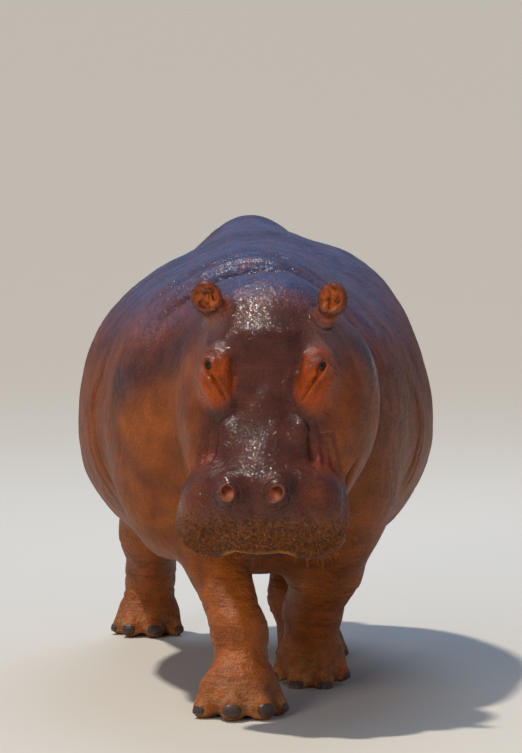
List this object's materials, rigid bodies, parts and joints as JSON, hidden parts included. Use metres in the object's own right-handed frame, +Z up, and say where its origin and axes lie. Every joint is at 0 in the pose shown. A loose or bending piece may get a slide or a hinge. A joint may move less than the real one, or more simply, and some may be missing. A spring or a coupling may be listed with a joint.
{
  "type": "hippopotamus model",
  "caption": "Life-size still model of a common hippopotamus walking with its head hung low, one fore foot well ahead and the hide wet.",
  "frame": {"origin": "on the floor, under the middle of the animal's extent", "axes": "+Z up; the animal faces -Y, and its left side is +X"},
  "size_m": [1.1684, 2.8834, 1.4724],
  "materials": {
    "hide": "wet, finely wrinkled hide, dark purple-brown",
    "flank_hide": "wet hide, reddish brown on the flanks and slate on the back",
    "ear_hide": "thin rust-orange hide with a fringe of short hairs",
    "eye": "wet and glossy, almost black",
    "nail": "dull horn, dark grey"
  },
  "bodies": {
    "root": {"ear_left": "ear_hide", "ear_right": "ear_hide", "eye_left": "eye", "eye_right": "eye", "forefoot_left": "hide", "forefoot_right": "hide", "foreleg_left": "hide", "foreleg_right": "hide", "forenail_left_1": "nail", "forenail_left_2": "nail", "forenail_left_3": "nail", "forenail_left_4": "nail", "forenail_right_1": "nail", "forenail_right_2": "nail", "forenail_right_3": "nail", "forenail_right_4": "nail", "head": "hide", "hindfoot_left": "hide", "hindfoot_right": "hide", "hindleg_left": "hide", "hindleg_right": "hide", "hindnail_left_1": "nail", "hindnail_left_2": "nail", "hindnail_left_3": "nail", "hindnail_left_4": "nail", "hindnail_right_1": "nail", "hindnail_right_2": "nail", "hindnail_right_3": "nail", "hindnail_right_4": "nail", "lower_jaw": "hide", "neck": "hide", "tail": "flank_hide", "trunk": "flank_hide"}
  },
  "joints": []
}
